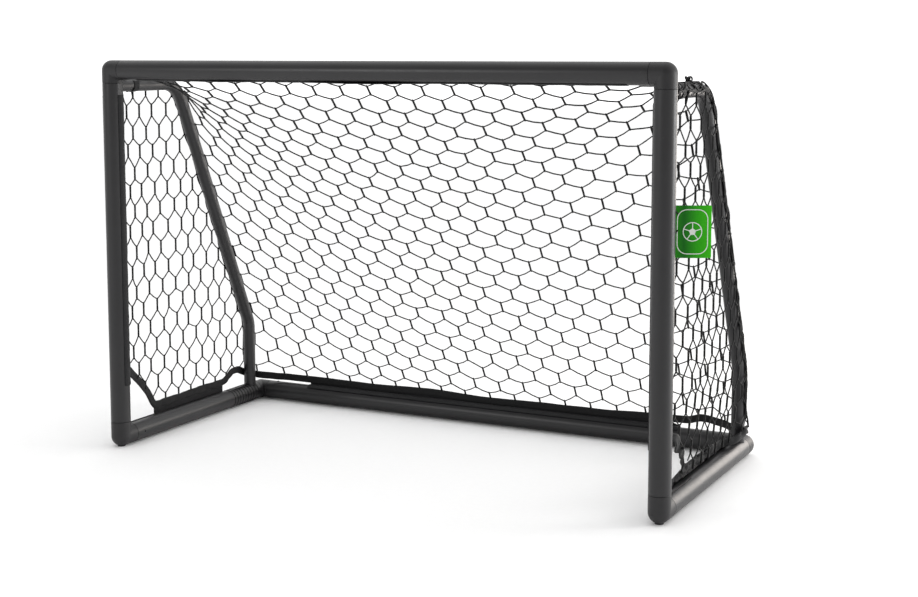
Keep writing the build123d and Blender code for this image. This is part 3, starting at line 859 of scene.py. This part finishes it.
cloth = {"along": 180, "across": 14, "flat": sleeve["barFlat"], "thick": sleeve["thick"]}
clothPiece("crossbarSleeve", cloth, barSleevePlace, finish["sleeve"], "sleeve", ["crossbar_sleeve"])

strap = {"flat": (0.025, 0.149), "thick": 0.0012, "gap": 0.0011, "start": -60, "wound": 400,  # degrees
         "lap": 0.0014, "lapFrom": 0.9, "wave": 0.0003}

for sideName, side in sides.items():
    low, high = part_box(sideName + "_post_sleeve")

    def place(a, b, side=side, low=low, high=high, span=sleeve["postAngles"][sideName]):
        z = low.z + (high.z - low.z) * a
        angle = radians(span[0] + (span[1] - span[0]) * b)
        slack = 4 * b * (1 - b)
        wave = abs(crease(z * 14 + b * 2, b * 3, side, 0.8, sleeve["postWave"]))
        radius = tubeRadius + sleeve["gap"] + wave * slack
        return Vector((side * postX + radius * cos(angle), bar.y + radius * sin(angle), z))

    flat = (sleeve["postWidth"], round(high.z - low.z, 3))
    cloth = {"along": 130, "across": 12, "flat": flat, "thick": sleeve["thick"]}
    clothPiece(sideName + "PostSleeve", cloth, place, finish["sleeve"], "sleeve", [sideName + "_post_sleeve"])

    strapLow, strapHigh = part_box(sideName + "_arm_strap")

    def strapPlace(a, b, side=side, low=strapLow, high=strapHigh):
        # once round the arm, with the end lapped over the start
        angle = radians(strap["start"] + strap["wound"] * a)
        lap = strap["lap"] if a > strap["lapFrom"] else 0.0
        radius = stanchionRadius + strap["gap"] + lap + crease(a * 5, b, side, 0.6, strap["wave"])
        y = low.y + (high.y - low.y) * b
        return Vector((side * postX + radius * cos(angle), y, armZ + radius * sin(angle)))

    cloth = {"along": 64, "across": 4, "flat": strap["flat"], "thick": strap["thick"]}
    clothPiece(sideName + "ArmStrap", cloth, strapPlace, finish["webbing"], "webbing",
               [sideName + "_arm_strap"])
print("sleeves and straps made")

label = {
    "width": 0.098,
    "height": 0.136,
    "low": 0.679,
    "corner": (-0.0002, -0.305),
    "turn": 27,  # degrees out from the side net
    "curl": 0.0022,
    "twist": 0.001,
    "thick": 0.0009,
    "lift": 0.0008,  # of the print, from the label's middle
    "ink": 0.0003,
    "border": {"size": (0.080, 0.116), "corner": 0.026, "line": 0.0022},
    "ball": {"radius": 0.025, "line": 0.0024, "patch": 0.0095, "seam": (0.0145, 0.0022), "seamFrom": 0.0060},
}
labelRun = Vector((cos(radians(label["turn"])), sin(radians(label["turn"])), 0))
labelOut = Vector((labelRun.y, -labelRun.x, 0))
labelStart = Vector((postX + label["corner"][0], label["corner"][1], label["low"]))


def labelPoint(across, up, lift=0.0):
    # the label stands out from its sewn edge with a slight curl
    a, b = across / label["width"], up / label["height"]
    curl = label["curl"] * sin(pi * a) * (0.6 + 0.4 * b) + label["twist"] * sin(2 * pi * b + 1) * a
    return labelStart + labelRun * across + Vector((0, 0, up)) + labelOut * (curl + lift)


cloth = {"along": 20, "across": 24, "flat": (label["height"], label["width"]), "thick": label["thick"]}
clothPiece("sideLabel", cloth, lambda a, b: labelPoint(a * label["width"], b * label["height"]),
           printedLabel(label["width"]), "label", ["side_label"])


def printPiece(name, build):
    # flat printed shapes, drawn on the label's own width and height, then laid on it
    bm = bmesh.new()
    build(bm)
    bmesh.ops.subdivide_edges(bm, edges=[e for e in bm.edges if e.calc_length() > 0.012], cuts=4)
    for vert in bm.verts:
        vert.co = labelPoint(vert.co.x, vert.co.y, label["lift"])
    bmesh.ops.recalc_face_normals(bm, faces=bm.faces)
    mesh = bpy.data.meshes.new(name)
    bm.to_mesh(mesh)
    bm.free()
    piece = finished(name, mesh, finish["ink"], "label")
    thick = piece.modifiers.new("ink thickness", "SOLIDIFY")
    thick.thickness = label["ink"]


def borderShape(bm):
    # a thin rounded frame
    border = label["border"]
    bmesh.ops.create_grid(bm, x_segments=1, y_segments=1, size=0.5)
    bmesh.ops.scale(bm, vec=(*border["size"], 1), verts=bm.verts)
    bmesh.ops.translate(bm, vec=(label["width"] / 2, label["height"] / 2, 0), verts=bm.verts)
    bmesh.ops.bevel(bm, geom=list(bm.verts), offset=border["corner"], segments=8, profile=0.5,
                    affect="VERTICES", material=-1)
    rim = list(bm.faces)
    bmesh.ops.inset_region(bm, faces=rim, thickness=border["line"], use_boundary=True, use_even_offset=True)
    bmesh.ops.delete(bm, geom=rim, context="FACES")


def ballShape(bm):
    # a plain ball: a ring, a five-sided patch and its five seams
    ball = label["ball"]
    at = Matrix.Translation((label["width"] / 2, label["height"] / 2, 0))
    bmesh.ops.create_circle(bm, cap_ends=True, segments=40, radius=ball["radius"], matrix=at)
    rim = list(bm.faces)
    bmesh.ops.inset_region(bm, faces=rim, thickness=ball["line"], use_boundary=True, use_even_offset=True)
    bmesh.ops.delete(bm, geom=rim, context="FACES")
    bmesh.ops.create_circle(bm, cap_ends=True, segments=5, radius=ball["patch"], matrix=at)
    for k in range(5):
        turn = Matrix.Rotation(radians(72 * k + 90), 4, "Z")
        seam = bmesh.ops.create_grid(bm, x_segments=1, y_segments=1, size=0.5)["verts"]
        bmesh.ops.scale(bm, vec=(*ball["seam"], 1), verts=seam)
        bmesh.ops.translate(bm, vec=(ball["patch"] + ball["seamFrom"], 0, 0), verts=seam)
        bmesh.ops.transform(bm, matrix=at @ turn, verts=seam)


printPiece("labelBorder", borderShape)
printPiece("labelBall", ballShape)
print("label made")

sideSpread = {"run": 0.2, "tuckedOut": 0.006, "tuckedLow": 0.08, "tuckedRise": 0.22, "tuckedGap": 0.05}


def sideOffset(side, y, z):
    # how far outside the post's middle the side net lies: it starts on the post and ends on the stanchion
    t = min(1.0, max(0.0, (y - postRear) / sideSpread["run"]))
    out = net["hugRadius"] * t * (2 - t)
    if side > 0 and y < footY - sideSpread["tuckedGap"]:
        # the right one is tucked in low down, towards its flap
        rise = min(1.0, max(0.0, (z - sideSpread["tuckedLow"]) / sideSpread["tuckedRise"]))
        out = sideSpread["tuckedOut"] + (out - sideSpread["tuckedOut"]) * rise
    return out


def lineHeight(points, y):
    # the highest place of a hem at this y, or nothing
    best = None
    for (_, ay, az), (_, by, bz) in zip(points, points[1:]):
        if min(ay, by) <= y <= max(ay, by) and by != ay:
            height = az + (bz - az) * (y - ay) / (by - ay)
            best = height if best is None else max(best, height)
    return best


def sidePoint(side, sideName):
    outline = stanchionLine(0, 14) + [(footY, 0.06)]
    line = sideHems[sideName]

    def point(run, drop):
        # run goes back from the post, drop down from the arm
        y, z = postRear + run, armZ - drop
        if y < postRear + 0.002 or y > footY + 0.002:
            return None
        roof = None
        for (ay, az), (by, bz) in zip(outline, outline[1:]):
            if ay <= y <= by and by > ay:
                roof = az + (bz - az) * (y - ay) / (by - ay)
        floor = lineHeight(line, y)
        if roof is None or z > roof + 0.004 or (floor is not None and z < floor):
            return None
        return Vector((side * (postX + sideOffset(side, y, z)), y, z))

    return point


lacing = {"front": 0.175, "rear": 0.322, "pitch": 0.0155, "cord": 0.0015, "gap": 0.0002, "steps": 300}
baseCord = {"front": -0.345, "length": 0.20, "angle": 78, "wander": 6, "cord": 0.0034, "gap": 0.0002,
            "steps": 24}
knot = {"out": 0.006, "y": -0.222, "up": 0.030, "size": 0.0032, "cord": 0.0044, "steps": 72}

bunch = {
    "length": 1.40, "steps": 200, "wander": 12, "lift": 0.006,
    # where it starts along the stanchion, phase, pitch, mean angle, swing either way, thickness
    "strands": ((0.0, 0.0, 0.136, 56, 34, 0.0046), (0.10, pi, 0.136, 56, 34, 0.0046),
                (0.13, 2.2, 0.118, 72, 22, 0.0040), (0.0, 1.1, 0.150, 92, 8, 0.0044),
                (0.15, 4.0, 0.170, 98, 6, 0.0036)),
}


def bunchStrands(side):
    # the net's gathered edge, wound loosely along the outer side of the stanchion
    strands = []
    for k, (start, phase, pitch, mean, swing, thick) in enumerate(bunch["strands"]):
        run, radii = [], []
        for i in range(bunch["steps"] + 1):
            s = start + (1 - start) * i / bunch["steps"]
            wander = bunch["wander"] * noise.noise(Vector((s * 14, k * 3, side)))
            angle = mean + swing * sin(2 * pi * s * bunch["length"] / pitch + phase) + wander
            lift = bunch["lift"] * max(0, noise.noise(Vector((s * 26, k * 5 + 2, side * 2))))
            point = hugged(side, angle, s)
            axisY, axisZ = atShare(endLine(side, 0), s)
            away = (point - Vector((side * postX, axisY, axisZ))).normalized()
            run.append(point + away * lift)
            radii.append(thick / 2)
        strands.append((run, radii))
    return strands


def armKnot(side):
    # a small overhand knot on the stanchion's arm, drawn as a trefoil
    centre = Vector((side * (postX + knot["out"]), knot["y"], armZ + knot["up"]))
    run = []
    for i in range(knot["steps"] + 1):
        t = 2 * pi * i / knot["steps"]
        loop = Vector((sin(t) + 2 * sin(2 * t), cos(t) - 2 * cos(2 * t), -1.6 * sin(3 * t)))
        run.append(centre + loop * knot["size"])
    return run, [knot["cord"] / 2] * len(run)


def woundLacing(side):
    # a thin cord wound round the side base behind the flap, where it ties the net's corner down
    run = []
    for i in range(lacing["steps"] + 1):
        t = i / lacing["steps"]
        y = lacing["front"] + (lacing["rear"] - lacing["front"]) * t
        uneven = 0.3 * noise.noise(Vector((y * 40, side, 6)))
        angle = 2 * pi * (y - lacing["front"]) / lacing["pitch"] + uneven
        radius = tubeRadius + lacing["cord"] / 2 + lacing["gap"]
        z = max(lacing["cord"] / 2, backBar.z + radius * sin(angle))  # flattened where it meets the floor
        run.append(Vector((side * (postX + radius * cos(angle)), y, z)))
    return run, [lacing["cord"] / 2] * len(run)


def cordAlongBase(side):
    # along the top of the side base, from the front corner to the flap
    run = []
    for i in range(baseCord["steps"] + 1):
        t = i / baseCord["steps"]
        angle = radians(baseCord["angle"] + baseCord["wander"] * noise.noise(Vector((t * 5, side, 3))))
        radius = tubeRadius + baseCord["cord"] / 2 + baseCord["gap"]
        y = baseCord["front"] + baseCord["length"] * t
        run.append(Vector((side * (postX + radius * cos(angle)), y, backBar.z + radius * sin(angle))))
    return run, [baseCord["cord"] / 2] * len(run)


for sideName, side in sides.items():
    strands = latticeStrands(
        0, ceil((footY - postRear) * 2 / net["sideWidth"]) + 1, net["sideWidth"], range(-1, net["sideRows"]),
        lambda level: level * net["sideRow"] + net["sideStart"], net["sideJoined"], sidePoint(side, sideName),
        23 + side, net["sideTwine"], net["sideJitter"])
    strands += bunchStrands(side)
    strands.append(cordAlongBase(side))
    if sideName == "left":
        strands.append(woundLacing(side))
    strands.append(armKnot(side))
    finished(sideName + "Net", netMesh(sideName + "Net", strands), finish["net"], "net", sideName + "_net")
print("side nets made")

studio = {
    "floorHalf": 30,
    "skyFront": 0.38,  # the darker room the goal faces
    "skyBack": 1.36,
    "skyFade": (-0.7, 0.2),  # between the two, by the direction's y
    "lamps": (
        # name, place, target, size, watts, colour
        ("backSoftbox", (1.65, 2.6, 0.55), (0.9, 0.0, 0.1), 1.1, 20, "#fff6ee"),
        ("sideSoftbox", (3.4, 1.4, 0.9), (0.9, 0.0, 0.3), 1.2, 40, "#ffffff"),
        ("frontSoftbox", (-2.4, -4.6, 2.2), (0.0, -0.3, 0.6), 0.9, 36, "#ffffff"),
    ),
}

bm = bmesh.new()
bmesh.ops.create_grid(bm, x_segments=1, y_segments=1, size=studio["floorHalf"])
mesh = bpy.data.meshes.new("floor")
bm.to_mesh(mesh)
bm.free()
floor = bpy.data.objects.new("floor", mesh)
bpy.context.scene.collection.objects.link(floor)
floor.data.materials.append(mattSurface("matt white backdrop paper", "#ffffff", 0.9, 0.985))

world = bpy.data.worlds.new("studio")
bpy.context.scene.world = world
world.use_nodes = True
sky = world.node_tree.nodes["Background"]
sky.inputs["Color"].default_value = (1, 1, 1, 1)
direction = add(world.node_tree, "ShaderNodeTexCoord").outputs["Generated"]
towards = add(world.node_tree, "ShaderNodeSeparateXYZ", links={"Vector": direction}).outputs["Y"]
level = add(world.node_tree, "ShaderNodeMapRange",
            {"From Min": studio["skyFade"][0], "From Max": studio["skyFade"][1],
             "To Min": studio["skyFront"], "To Max": studio["skyBack"]},
            {"Value": towards})
world.node_tree.links.new(level.outputs["Result"], sky.inputs["Strength"])
bpy.context.scene.view_settings.view_transform = "Standard"
for name, place, target, size, watts, tone in studio["lamps"]:
    lamp = bpy.data.lights.new(name, "AREA")
    lamp.size = size
    lamp.energy = watts
    lamp.color = colour(tone)[:3]
    holder = bpy.data.objects.new(name, lamp)
    holder.location = place
    holder.rotation_euler = (Vector(target) - Vector(place)).to_track_quat("-Z", "Y").to_euler()
    bpy.context.scene.collection.objects.link(holder)
print("studio ready")
